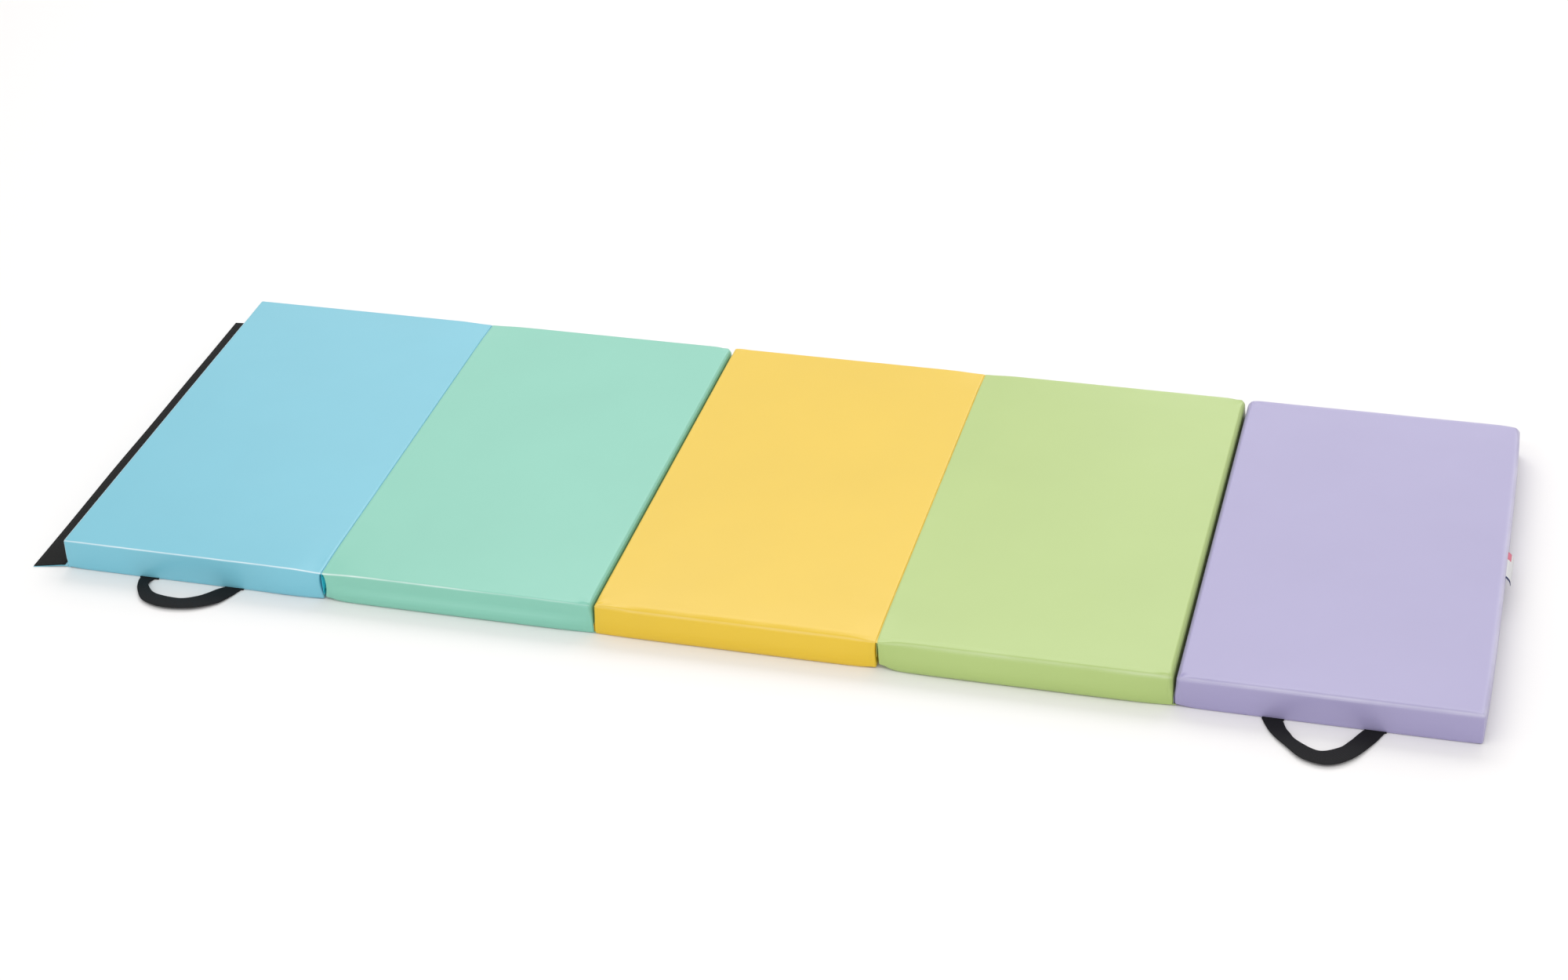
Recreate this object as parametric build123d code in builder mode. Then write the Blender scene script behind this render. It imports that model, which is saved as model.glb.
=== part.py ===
"""Folding gym mat: five foam panels in zipped vinyl covers, hinged on folded seams.

Frame: +X along the mat, +Y to the back, +Z up. The origin is the centre of the middle
panel's underside, on the floor. Millimetres.
"""

import os

from build123d import *

# --- driving dimensions ---------------------------------------------------------------
COLOURS = ("blue", "mint", "yellow", "lime", "lilac")  # panels from -X to +X
PITCH = 450.0  # fold line to fold line
DEPTH = 800.0  # front to back
THICK = 54.0
FOLD_GAP = 2.0  # fold line to the wall of each panel beside it
HINGE_LIFT = 0.5  # fold axis beyond the face that folds shut, half the gap between shut faces

SHEET = 0.6  # vinyl
FOAM_PLAY = 1.0  # foam to vinyl
CORNER_R = 6.0  # upright corners, and how far a side wall wraps on to the front and back
TOP_R = 5.0
BOTTOM_R = 3.0

FLANGE_DEEP = 15.0  # seam allowance that hangs in a fold
FLANGE_PAST = 0.7  # seam allowance past the fold line
BEAD_R = 1.5  # rolled edge of the seam, round the fold axis
FOLD_END = 2.0  # seam stops this short of the front and back

ZIP_LONG = 430.0
TAPE_WIDE = 20.0
TAPE_THICK = 0.6
CHAIN_WIDE = 6.0
CHAIN_THICK = 1.8
STOP_LONG = 3.0
SLOT_PLAY = 1.0  # chain to the edge of its slot
SLIDER = (14.0, 3.4, 11.0)  # along the zip, out from the wall, up
SLIDER_PLAY = 0.3
SLIDER_INSET = 10.0  # shut slider's centre from the end of the zip

WEBBING = 30.0
WEBBING_THICK = 2.0
HANDLE_SPAN = 182.0  # outer edge to outer edge at the seam
HANDLE_REACH = 88.0  # pivot line to the outermost edge
FLEX_GAP = 2.4  # wall to the line about which a handle or flap swings
RUN_GAP = 0.3  # between a swinging edge and the end sewn in beside it

FLAP_WIDE = 50.0
FLAP_LONG = 796.0
FLAP_SHEET = 0.8
TAPE_PILE = 1.6  # hook or loop tape, backing and pile
TAPE_MARGIN = 1.5  # hook tape to the edge of the flap

LOOP_WIDE = 50.0
LOOP_INSET = 6.0  # end of the mat to the loop tape

LABEL_LONG = 70.0
LABEL_OUT = 13.0
LABEL_DROP = 11.0
LABEL_THICK = 0.8
LABEL_AT = -5.0  # centre, along Y

# --- derived --------------------------------------------------------------------------
WIDE = PITCH - 2 * FOLD_GAP  # one panel's cover
HALF_X = WIDE / 2
HALF_Y = DEPTH / 2
SEAM_TOP = THICK - TOP_R  # height of the seam under the top edge
SEAM_LOW = BOTTOM_R
ZIP_Z = THICK / 2
INNER_Y = HALF_Y - SHEET  # inside face of the back wall
END_X = PITCH * len(COLOURS) / 2 - FOLD_GAP  # outside face of an end wall

os.makedirs("parts", exist_ok=True)


def panel_x(index):
    """Centre of a panel along the mat."""
    return (index - (len(COLOURS) - 1) / 2) * PITCH


def save(builder, name):
    """Label a finished piece and write it to its own file."""
    builder.part.label = name
    export_step(builder.part, f"parts/{name}.step")


def box_between(low, high, mode=Mode.ADD):
    """Box from one corner to the opposite one, inside the open part."""
    size = [b - a for a, b in zip(low, high)]
    middle = tuple((a + b) / 2 for a, b in zip(low, high))
    with Locations(middle):
        Box(*size, mode=mode)


def rounded_block(inset):
    """One panel's outside shape centred on the origin, shrunk evenly by inset."""
    with BuildPart() as block:
        box_between(
            (inset - HALF_X, inset - HALF_Y, inset),
            (HALF_X - inset, HALF_Y - inset, THICK - inset),
        )
        fillet(block.edges().filter_by(Axis.Z), radius=CORNER_R - inset)
        fillet(block.faces().sort_by(Axis.Z)[-1].edges(), radius=TOP_R - inset)
        fillet(block.faces().sort_by(Axis.Z)[0].edges(), radius=BOTTOM_R - inset)
    return block.part


OUTSIDE = rounded_block(0)


# --- vinyl cover of one panel, cut along its seams ---------------------------------------
with BuildPart() as cover:
    add(OUTSIDE)
    add(rounded_block(SHEET), mode=Mode.SUBTRACT)

SIDE_REGION = ((-HALF_X, -HALF_Y, SEAM_LOW), (-HALF_X + CORNER_R, HALF_Y, SEAM_TOP))
BACK_REGION = (
    (-HALF_X + CORNER_R, INNER_Y - SHEET, SEAM_LOW),
    (HALF_X - CORNER_R, HALF_Y, SEAM_TOP),
)

with BuildPart() as left_wall:
    add(cover.part)
    box_between(*SIDE_REGION, mode=Mode.INTERSECT)

with BuildPart() as right_wall:
    mirror(left_wall.part, about=Plane.YZ)

with BuildPart() as back_wall:
    add(cover.part)
    box_between(*BACK_REGION, mode=Mode.INTERSECT)
    with Locations((0, HALF_Y, ZIP_Z)):
        Box(ZIP_LONG + 2 * SLOT_PLAY, 4 * SHEET, CHAIN_WIDE + 2 * SLOT_PLAY, mode=Mode.SUBTRACT)

# the top sheet runs over the front edge and down to the bottom seam
with BuildPart() as top_sheet:
    add(cover.part)
    box_between((-HALF_X, -HALF_Y, 0), (HALF_X, HALF_Y, SEAM_LOW), mode=Mode.SUBTRACT)
    box_between(*BACK_REGION, mode=Mode.SUBTRACT)
    box_between(*SIDE_REGION, mode=Mode.SUBTRACT)
    box_between(
        (HALF_X - CORNER_R, -HALF_Y, SEAM_LOW), (HALF_X, HALF_Y, SEAM_TOP), mode=Mode.SUBTRACT
    )

with BuildPart() as bottom_sheet:
    add(cover.part)
    box_between((-HALF_X, -HALF_Y, 0), (HALF_X, HALF_Y, SEAM_LOW), mode=Mode.INTERSECT)

LOOP_TAPE_X = HALF_X - LOOP_INSET - LOOP_WIDE / 2  # from the end panel's centre
LOOP_TAPE_LONG = DEPTH - 4 * LOOP_INSET

# the end panel's bottom sheet is pressed in where the loop tape is sewn on flush
with BuildPart() as bottom_sheet_with_window:
    add(bottom_sheet.part)
    with Locations((LOOP_TAPE_X, 0, 0)):
        Box(LOOP_WIDE, LOOP_TAPE_LONG, 4 * SHEET, mode=Mode.SUBTRACT)

# --- foam and zip of one panel ---------------------------------------------------------
with BuildPart() as foam:
    add(rounded_block(SHEET + FOAM_PLAY))

with BuildPart() as zip_tape:
    box_between(
        (-ZIP_LONG / 2, INNER_Y - TAPE_THICK, ZIP_Z - TAPE_WIDE / 2),
        (ZIP_LONG / 2, INNER_Y, ZIP_Z + TAPE_WIDE / 2),
    )

with BuildPart() as zip_chain:
    box_between(
        (-ZIP_LONG / 2, INNER_Y, ZIP_Z - CHAIN_WIDE / 2),
        (ZIP_LONG / 2, INNER_Y + CHAIN_THICK, ZIP_Z + CHAIN_WIDE / 2),
    )
    # a metal stop clamped on each end
    with Locations(
        (-(ZIP_LONG - STOP_LONG) / 2, INNER_Y, ZIP_Z), ((ZIP_LONG - STOP_LONG) / 2, INNER_Y, ZIP_Z)
    ):
        Box(
            STOP_LONG, CHAIN_THICK + RUN_GAP, CHAIN_WIDE + SLOT_PLAY,
            align=(Align.CENTER, Align.MIN, Align.CENTER),
        )

# the slider saddles the chain, with no pull tab so that a child can't open it
with BuildPart() as zip_slider:
    with Locations((ZIP_LONG / 2 - SLIDER_INSET, HALF_Y + SLIDER_PLAY, ZIP_Z)):
        Box(*SLIDER, align=(Align.CENTER, Align.MIN, Align.CENTER))
    fillet(zip_slider.edges().filter_by(Axis.Y), radius=3.0)
    fillet(zip_slider.faces().sort_by(Axis.Y)[-1].edges(), radius=1.0)
    box_between(
        (0, HALF_Y, ZIP_Z - CHAIN_WIDE / 2 - SLIDER_PLAY),
        (ZIP_LONG, INNER_Y + CHAIN_THICK + SLIDER_PLAY, ZIP_Z + CHAIN_WIDE / 2 + SLIDER_PLAY),
        mode=Mode.SUBTRACT,
    )

PANEL_PIECES = {
    "foam_core": foam,
    "top_sheet": top_sheet,
    "bottom_sheet": bottom_sheet,
    "left_wall": left_wall,
    "right_wall": right_wall,
    "back_wall": back_wall,
    "zip_tape": zip_tape,
    "zip_chain": zip_chain,
    "zip_slider": zip_slider,
}

for index, colour in enumerate(COLOURS):
    for kind, piece in PANEL_PIECES.items():
        is_end = colour == COLOURS[-1]
        chosen = bottom_sheet_with_window if kind == "bottom_sheet" and is_end else piece
        with BuildPart() as placed:
            with Locations((panel_x(index), 0, 0)):
                add(chosen.part)
        save(placed, f"{kind}_{colour}")


# --- folds: alternately along the top and the bottom edges -------------------------------
def fold_seam(fold_x, at_top):
    """Seam allowance sewn to the left panel's wall, rolled round the fold axis at its edge."""
    upward = 1 if at_top else -1
    face_z = THICK if at_top else 0.0
    with BuildPart() as seam:
        with BuildSketch(Plane.XZ) as section:
            with Locations((fold_x, face_z + upward * HINGE_LIFT)):
                Circle(BEAD_R)
            with Locations((fold_x, face_z + upward * BEAD_R)):
                Rectangle(4 * BEAD_R, 2 * BEAD_R, mode=Mode.SUBTRACT)
            with Locations((fold_x + (FLANGE_PAST - FOLD_GAP) / 2, face_z - upward * FLANGE_DEEP / 2)):
                Rectangle(FOLD_GAP + FLANGE_PAST, FLANGE_DEEP - 2 * HINGE_LIFT)
        extrude(amount=HALF_Y - FOLD_END, both=True)
    return seam


for index in range(len(COLOURS) - 1):
    pair = f"{COLOURS[index]}_{COLOURS[index + 1]}"
    save(fold_seam(panel_x(index) + PITCH / 2, at_top=index % 2 == 0), f"fold_seam_{pair}")

# --- carrying handles: one webbing loop on the front of each end panel --------------------
PIVOT_Y = -HALF_Y - FLEX_GAP
PIVOT_Z = WEBBING_THICK / 2
LEG_X = (HANDLE_SPAN - WEBBING) / 2  # loop centre to the centre of each leg


def handle_loop(centre_x):
    """Webbing loop lying outwards from the seam, each leg rounded about the pivot line."""
    with BuildPart() as loop:
        with BuildSketch():
            with Locations((centre_x, PIVOT_Y)):
                Ellipse(HANDLE_SPAN / 2, HANDLE_REACH)
                Ellipse(HANDLE_SPAN / 2 - WEBBING, HANDLE_REACH - WEBBING, mode=Mode.SUBTRACT)
            with Locations((centre_x, PIVOT_Y + HANDLE_REACH)):
                Rectangle(2 * HANDLE_SPAN, 2 * HANDLE_REACH, mode=Mode.SUBTRACT)
        extrude(amount=WEBBING_THICK)
        with Locations((centre_x - LEG_X, PIVOT_Y, PIVOT_Z), (centre_x + LEG_X, PIVOT_Y, PIVOT_Z)):
            Cylinder(WEBBING_THICK / 2, WEBBING, rotation=(0, 90, 0))
    return loop


def handle_ends(centre_x, panel_centre):
    """The loop's two ends where they leave the bottom seam, up to the swinging part."""
    with BuildPart() as ends:
        for leg in (-LEG_X, LEG_X):
            box_between(
                (centre_x + leg - WEBBING / 2, PIVOT_Y + WEBBING_THICK / 2 + RUN_GAP, 0),
                (centre_x + leg + WEBBING / 2, -HALF_Y + BOTTOM_R, WEBBING_THICK),
            )
        with Locations((panel_centre, 0, 0)):
            add(OUTSIDE, mode=Mode.SUBTRACT)
    return ends


for side, index in (("left", 0), ("right", len(COLOURS) - 1)):
    save(handle_loop(panel_x(index)), f"handle_{side}")
    save(handle_ends(panel_x(index), panel_x(index)), f"handle_ends_{side}")

# --- hook flap along the left end ---------------------------------------------------------
FLAP_THICK = FLAP_SHEET + TAPE_PILE
FLAP_PIVOT_X = -END_X - FLAP_THICK / 2 - 2 * RUN_GAP - SHEET

with BuildPart() as end_flap:
    with BuildSketch(Plane.XZ):
        with Locations((FLAP_PIVOT_X, FLAP_THICK / 2)):
            Circle(FLAP_THICK / 2)
        with Locations((FLAP_PIVOT_X - FLAP_WIDE / 2, FLAP_SHEET / 2)):
            Rectangle(FLAP_WIDE, FLAP_SHEET)
    extrude(amount=FLAP_LONG / 2, both=True)
save(end_flap, "end_flap")

with BuildPart() as hook_strip:
    box_between(
        (FLAP_PIVOT_X - FLAP_WIDE + TAPE_MARGIN, -FLAP_LONG / 2 + TAPE_MARGIN, FLAP_SHEET),
        (FLAP_PIVOT_X - FLAP_THICK / 2, FLAP_LONG / 2 - TAPE_MARGIN, FLAP_THICK),
    )
save(hook_strip, "hook_strip")

with BuildPart() as flap_hem:
    box_between(
        (FLAP_PIVOT_X + FLAP_THICK / 2 + RUN_GAP, -FLAP_LONG / 2, 0),
        (-END_X + BOTTOM_R, FLAP_LONG / 2, FLAP_THICK),
    )
    with Locations((panel_x(0), 0, 0)):
        add(OUTSIDE, mode=Mode.SUBTRACT)
save(flap_hem, "flap_hem")

# --- loop tape under the right end, and the label on its top edge ---------------------------
with BuildPart() as loop_strip:
    with Locations((panel_x(len(COLOURS) - 1) + LOOP_TAPE_X, 0, 0)):
        Box(LOOP_WIDE, LOOP_TAPE_LONG, SHEET, align=(Align.CENTER, Align.CENTER, Align.MIN))
save(loop_strip, "loop_strip")

with BuildPart() as label_tab:
    with BuildSketch(Plane.XZ.offset(-LABEL_AT)):
        with BuildLine():
            Polyline(
                (END_X, SEAM_TOP),
                (END_X + LABEL_OUT, SEAM_TOP - LABEL_DROP),
                (END_X + LABEL_OUT, SEAM_TOP - LABEL_DROP - LABEL_THICK),
                (END_X, SEAM_TOP - LABEL_THICK),
                close=True,
            )
        make_face()
    extrude(amount=LABEL_LONG / 2, both=True)
save(label_tab, "label_tab")
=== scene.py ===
"""Folding gym mat on a white floor: padded vinyl covers, webbing handles, hook flap, zips.

Everything is in metres in the CAD frame: +X along the mat, +Y to the back, +Z up, origin
under the centre of the middle panel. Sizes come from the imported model's boxes.
"""

import math
from types import SimpleNamespace

import bpy
import numpy as np
from mathutils import Matrix, Vector, noise


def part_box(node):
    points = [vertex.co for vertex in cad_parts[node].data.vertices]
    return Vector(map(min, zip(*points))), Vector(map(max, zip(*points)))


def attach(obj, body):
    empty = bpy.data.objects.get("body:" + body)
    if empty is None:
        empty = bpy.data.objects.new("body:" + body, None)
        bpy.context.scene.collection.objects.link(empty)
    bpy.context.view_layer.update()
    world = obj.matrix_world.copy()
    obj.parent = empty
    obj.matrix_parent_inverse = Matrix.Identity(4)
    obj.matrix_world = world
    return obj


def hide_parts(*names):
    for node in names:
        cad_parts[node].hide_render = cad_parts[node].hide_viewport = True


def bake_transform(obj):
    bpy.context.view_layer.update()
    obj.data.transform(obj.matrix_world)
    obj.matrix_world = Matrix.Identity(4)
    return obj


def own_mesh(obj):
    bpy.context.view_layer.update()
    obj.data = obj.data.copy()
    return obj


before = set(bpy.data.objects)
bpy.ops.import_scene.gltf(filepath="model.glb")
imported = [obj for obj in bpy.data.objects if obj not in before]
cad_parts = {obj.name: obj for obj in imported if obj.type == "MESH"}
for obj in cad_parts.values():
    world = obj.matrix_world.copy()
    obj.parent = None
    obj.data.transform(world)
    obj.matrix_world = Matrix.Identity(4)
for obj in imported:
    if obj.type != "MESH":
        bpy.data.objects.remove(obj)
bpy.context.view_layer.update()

MM = 0.001
COLOURS = ("blue", "mint", "yellow", "lime", "lilac")
WEAVE_MAP = "weave"  # UVs in metres along a piece of tape or webbing
PAINTED_HIGHLIGHT_MAP = "crease"  # how strongly the painted highlight along the top edges lies at each point, 0 to 1
SHARP = 50  # degrees past which a slab's faces meet in a sharp edge


def by_colour(*values):
    """A value for each panel, from left to right."""
    return dict(zip(COLOURS, values))


def box_middle(node, axis):
    low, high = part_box(node)
    return (high[axis] + low[axis]) / 2


def box_size(node, axis):
    low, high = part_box(node)
    return high[axis] - low[axis]


# --- sizes read from the frame ---------------------------------------------------------------
CENTRE_X = {c: box_middle(f"foam_core_{c}", 0) for c in COLOURS}
PITCH = CENTRE_X["mint"] - CENTRE_X["blue"]
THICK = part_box("top_sheet_blue")[1][2]
HALF_X = box_size("top_sheet_blue", 0) / 2
HALF_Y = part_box("top_sheet_blue")[1][1]
FOLD_GAP = PITCH / 2 - HALF_X
SIDE_SEAM = box_size("left_wall_blue", 0)
LOW_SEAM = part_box("bottom_sheet_blue")[1][2]
HIGH_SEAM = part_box("left_wall_blue")[1][2]
ZIP_X = box_size("zip_chain_blue", 0) / 2
ZIP_Z = box_middle("zip_chain_blue", 2)
END_X = CENTRE_X["lilac"] + HALF_X


# --- small tools -----------------------------------------------------------------------------
def smooth(t):
    """Smooth step of an array, 0 below 0 and 1 above 1."""
    t = np.clip(t, 0, 1)
    return t * t * (3 - 2 * t)


def within(distance, reach):
    """1 at no distance, and smoothly down to 0 at the reach."""
    return smooth(1 - distance / reach)


def bell(distance, width):
    return np.exp(-((distance / width) ** 2))


def ripple(a, b, size, seed):
    """Repeatable smooth noise of two coordinates, about -1 to 1, with features of a size."""
    return np.array([noise.noise(Vector((p / size, q / size, seed))) for p, q in zip(a, b)])


def graded(low, high, near, step):
    """Grid lines from low to high: at the near distances from each end, then evenly between."""
    inner_low, inner_high = low + near[-1], high - near[-1]
    count = max(1, round((inner_high - inner_low) / step))
    middle = np.linspace(inner_low, inner_high, count + 1)[1:-1]
    return np.concatenate([low + np.array(near), middle, high - np.array(near[::-1])])


def grid_of(x, y, z):
    """Grid of points from coordinates that broadcast to its rows and columns."""
    return np.stack(np.broadcast_arrays(x, y, z), axis=2)


def box_skin(xs, ys, zs):
    """Points and outward quads of a closed box whose skin has these grid lines."""
    index, points, faces = {}, [], []
    nx, ny, nz = len(xs) - 1, len(ys) - 1, len(zs) - 1

    def corner(i, j, k):
        if (i, j, k) not in index:
            index[i, j, k] = len(points)
            points.append((xs[i], ys[j], zs[k]))
        return index[i, j, k]

    def quad(*corners):
        faces.append([corner(*c) for c in corners])

    for i in range(nx):
        for j in range(ny):
            quad((i, j, nz), (i + 1, j, nz), (i + 1, j + 1, nz), (i, j + 1, nz))
            quad((i, j, 0), (i, j + 1, 0), (i + 1, j + 1, 0), (i + 1, j, 0))
        for k in range(nz):
            quad((i, 0, k), (i + 1, 0, k), (i + 1, 0, k + 1), (i, 0, k + 1))
            quad((i, ny, k), (i, ny, k + 1), (i + 1, ny, k + 1), (i + 1, ny, k))
    for j in range(ny):
        for k in range(nz):
            quad((0, j, k), (0, j, k + 1), (0, j + 1, k + 1), (0, j + 1, k))
            quad((nx, j, k), (nx, j + 1, k), (nx, j + 1, k + 1), (nx, j, k + 1))
    return np.array(points), faces


def piece(name, points, faces, *materials, crease=None):
    """A smooth-shaded mesh object, sharp only where it turns past crease degrees."""
    mesh = bpy.data.meshes.new(name)
    mesh.from_pydata([tuple(p) for p in points], [], faces)
    mesh.update()
    mesh.shade_smooth()
    if crease is not None:
        mesh.set_sharp_from_angle(angle=math.radians(crease))
    made = bpy.data.objects.new(name, mesh)
    bpy.context.scene.collection.objects.link(made)
    for material in materials:
        mesh.materials.append(material)
    return made


def slab(name, middle, thick, *materials):
    """A closed sheet of a thickness about a grid of points, with lengths along it as its UVs."""
    rows, columns = middle.shape[:2]
    normal = np.cross(np.gradient(middle, axis=0), np.gradient(middle, axis=1))
    normal /= np.linalg.norm(normal, axis=2, keepdims=True)
    half = normal * np.broadcast_to(np.asarray(thick, float) / 2, (rows, columns))[..., None]
    points = np.concatenate([(middle + half).reshape(-1, 3), (middle - half).reshape(-1, 3)])
    under = rows * columns
    faces = []
    for i in range(rows - 1):
        for j in range(columns - 1):
            a, b = i * columns + j, (i + 1) * columns + j
            faces.append((a, b, b + 1, a + 1))
            faces.append((under + a, under + a + 1, under + b + 1, under + b))
    rim = [i * columns for i in range(rows)]
    rim += [(rows - 1) * columns + j for j in range(1, columns)]
    rim += [i * columns + columns - 1 for i in range(rows - 2, -1, -1)]
    rim += list(range(columns - 2, 0, -1))
    for a, b in zip(rim, rim[1:] + rim[:1]):
        faces.append((under + a, under + b, b, a))
    made = piece(name, points, faces, *materials, crease=SHARP)
    step_u = np.linalg.norm(np.diff(middle, axis=0, prepend=middle[:1]), axis=2).mean(axis=1)
    step_v = np.linalg.norm(np.diff(middle, axis=1, prepend=middle[:, :1]), axis=2).mean(axis=0)
    u, v = np.meshgrid(np.cumsum(step_u), np.cumsum(step_v), indexing="ij")
    uv = np.tile(np.stack([u.ravel(), v.ravel()], axis=1), (2, 1))
    layer = made.data.uv_layers.new(name=WEAVE_MAP)
    corner = np.empty(len(made.data.loops), int)
    made.data.loops.foreach_get("vertex_index", corner)
    layer.data.foreach_set("uv", uv[corner].ravel())
    return made


def lozenge(centre, half, around=8, power=2.6):
    """Points and faces of a small rounded block; a higher power makes it squarer."""
    rings = (-0.72, 0.0, 0.72)
    points, faces = [(-1.0, 0, 0)], []
    for ring in rings:
        wide = (1 - abs(ring) ** power) ** (1 / power)
        for k in range(around):
            angle = math.tau * k / around
            points.append((ring, wide * math.cos(angle), wide * math.sin(angle)))
    points.append((1.0, 0, 0))
    last = len(points) - 1
    for k in range(around):
        after = (k + 1) % around
        faces.append((0, 1 + after, 1 + k))
        faces.append((last, last - around + k, last - around + after))
        for r in range(len(rings) - 1):
            a, b = 1 + r * around + k, 1 + r * around + after
            faces.append((a, b, b + around, a + around))
    return np.array(points) * half + np.array(centre), faces


def gather(name, shapes, *materials):
    """One piece from many (points, faces) shapes."""
    points, faces, base = [], [], 0
    for shape_points, shape_faces in shapes:
        points.append(shape_points)
        faces += [tuple(base + k for k in face) for face in shape_faces]
        base += len(shape_points)
    return piece(name, np.concatenate(points), faces, *materials)


def join(name, parts):
    """One object from several."""
    with bpy.context.temp_override(
        active_object=parts[0],
        object=parts[0],
        selected_editable_objects=parts,
        selected_objects=parts,
    ):
        bpy.ops.object.join()
    parts[0].name = name
    return parts[0]


def spline(knots, count):
    """Evenly spaced points along a smooth (Catmull-Rom) curve through the knots."""
    knots = np.array(knots, float)
    padded = np.vstack([2 * knots[0] - knots[1], knots, 2 * knots[-1] - knots[-2]])
    fine = []
    for a, b, c, d in zip(padded, padded[1:], padded[2:], padded[3:]):
        square, cube = 2 * a - 5 * b + 4 * c - d, 3 * (b - c) + d - a
        for t in np.linspace(0, 1, 24, endpoint=False):
            fine.append(b + 0.5 * t * (c - a + t * (square + t * cube)))
    fine = np.array(fine + [knots[-1]])
    step = np.linalg.norm(np.diff(fine, axis=0), axis=1)
    along = np.concatenate([[0], np.cumsum(step)])
    wanted = np.linspace(0, along[-1], count)
    return np.stack([np.interp(wanted, along, values) for values in fine.T], axis=1)


STITCH_PITCH = 4.2 * MM
STITCH_HALF = (0.40 * STITCH_PITCH, 0.36 * MM, 0.30 * MM)


def stitch_row(start, end, proud):
    """Stitches from start to end, each rounded and dipping into the cloth at both its ends."""
    start, end, proud = (np.array(v, float) for v in (start, end, proud))
    length = np.linalg.norm(end - start)
    along = (end - start) / length
    count = max(2, round(length / STITCH_PITCH))
    turn = np.stack([along, np.cross(along, proud), proud], axis=1)
    stitch, faces = lozenge((0, 0, 0), STITCH_HALF, around=6)
    stitch = stitch @ turn.T + start
    return [(stitch + along * length * (k + 0.5) / count, faces) for k in range(count)]


# --- materials -------------------------------------------------------------------------------
class Nodes:
    """A new material and short calls for the nodes that it needs."""

    def __init__(self, name):
        self.material = bpy.data.materials.new(name)
        self.material.use_nodes = True
        self.tree = self.material.node_tree
        self.shader = self.tree.nodes["Principled BSDF"]
        self.where = self.tree.nodes.new("ShaderNodeTexCoord").outputs["Object"]

    def add(self, kind, **inputs):
        node = self.tree.nodes.new(kind)
        for key, value in inputs.items():
            self.put(node.inputs[key.replace("_", " ")], value)
        return node

    def put(self, socket, value):
        if isinstance(value, bpy.types.NodeSocket):
            self.tree.links.new(value, socket)
        else:
            socket.default_value = value

    def set(self, **inputs):
        for key, value in inputs.items():
            self.put(self.shader.inputs[key.replace("_", " ")], value)

    def noise(self, scale, detail=2.0):
        made = self.add("ShaderNodeTexNoise", Vector=self.where, Scale=scale, Detail=detail)
        return made.outputs["Fac"]

    def cells(self, scale):
        return self.add("ShaderNodeTexVoronoi", Vector=self.where, Scale=scale).outputs["Distance"]

    def range(self, value, low, high, from_low=0.3, from_high=0.7):
        made = self.add("ShaderNodeMapRange", Value=value)
        numbers = {"From Min": from_low, "From Max": from_high, "To Min": low, "To Max": high}
        for key, number in numbers.items():
            made.inputs[key].default_value = number
        return made.outputs["Result"]

    def mix(self, share, first, second):
        made = self.tree.nodes.new("ShaderNodeMix")
        made.data_type = "RGBA"
        self.put(made.inputs["Factor"], share)
        self.put(made.inputs["A"], (*first, 1.0) if isinstance(first, tuple) else first)
        self.put(made.inputs["B"], (*second, 1.0) if isinstance(second, tuple) else second)
        return made.outputs["Result"]

    def bump(self, height, strength, distance, over=None):
        made = self.add("ShaderNodeBump", Height=height, Strength=strength, Distance=distance)
        if over is not None:
            self.put(made.inputs["Normal"], over)
        return made.outputs["Normal"]


def shade(colour, factor):
    return tuple(min(1.0, c * factor) for c in colour)


HIGHLIGHT_WHITENESS = 0.8  # how near to white the vinyl goes under its painted edge highlight


def vinyl(name, colour):
    """Coated artificial leather: fine pebble grain over slow unevenness, and a painted white
    highlight along its edges.
    """
    n = Nodes(name)
    patches = n.range(n.noise(6.0, 3.0), 0.0, 1.0)
    tint = n.mix(patches, shade(colour, 0.985), shade(colour, 1.015))
    # the crease attribute holds a painted highlight, which mixes the colour towards white
    crease = n.tree.nodes.new("ShaderNodeAttribute")
    crease.attribute_name = PAINTED_HIGHLIGHT_MAP
    highlight_white = tuple(c + (1.0 - c) * HIGHLIGHT_WHITENESS for c in colour)
    slow = n.bump(n.noise(9.0, 1.0), 0.04, 0.003)
    n.set(
        Base_Color=n.mix(crease.outputs["Fac"], tint, highlight_white),
        Roughness=n.range(n.noise(7.0, 2.0), 0.28, 0.31),
        Normal=n.bump(n.cells(1100.0), 0.06, 0.0002, over=slow),
        IOR=1.5,
    )
    return n.material


WAVE_UNIT = math.pi / 10  # the scale at which a wave texture repeats once in a metre


def woven(name, colour, pitch, roughness=0.7, contrast=(0.55, 1.5)):
    """Narrow woven tape or webbing: ribs across its length and fine threads between them."""
    n = Nodes(name)
    uv = n.tree.nodes.new("ShaderNodeUVMap")
    uv.uv_map = WEAVE_MAP
    both = n.add("ShaderNodeMath")
    both.operation = "MULTIPLY"
    for socket, direction, size in zip(both.inputs, ("X", "Y"), (1.0, 1.3)):
        scale = WAVE_UNIT / (pitch * size)
        wave = n.add("ShaderNodeTexWave", Vector=uv.outputs["UV"], Scale=scale, Distortion=0.5)
        wave.bands_direction = direction
        n.put(socket, wave.outputs["Fac"])
    weave = both.outputs[0]
    n.set(
        Base_Color=n.mix(weave, shade(colour, contrast[0]), shade(colour, contrast[1])),
        Roughness=roughness,
        Specular_IOR_Level=0.25,
        Normal=n.bump(weave, 0.7, 0.0004),
    )
    return n.material


def pile(name, colour, scale, height):
    """Hook or loop tape: a dense mat of tiny fibre ends, thinner in patches."""
    n = Nodes(name)
    dots = n.cells(scale)
    ends = n.mix(n.range(dots, 0.0, 1.0, 0.05, 0.45), shade(colour, 5.0), shade(colour, 0.6))
    n.set(
        Base_Color=n.mix(n.range(n.noise(45.0, 3.0), 0.0, 0.35), ends, shade(colour, 1.6)),
        Roughness=0.75,
        Specular_IOR_Level=0.2,
        Normal=n.bump(dots, 0.9, height),
    )
    return n.material


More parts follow.
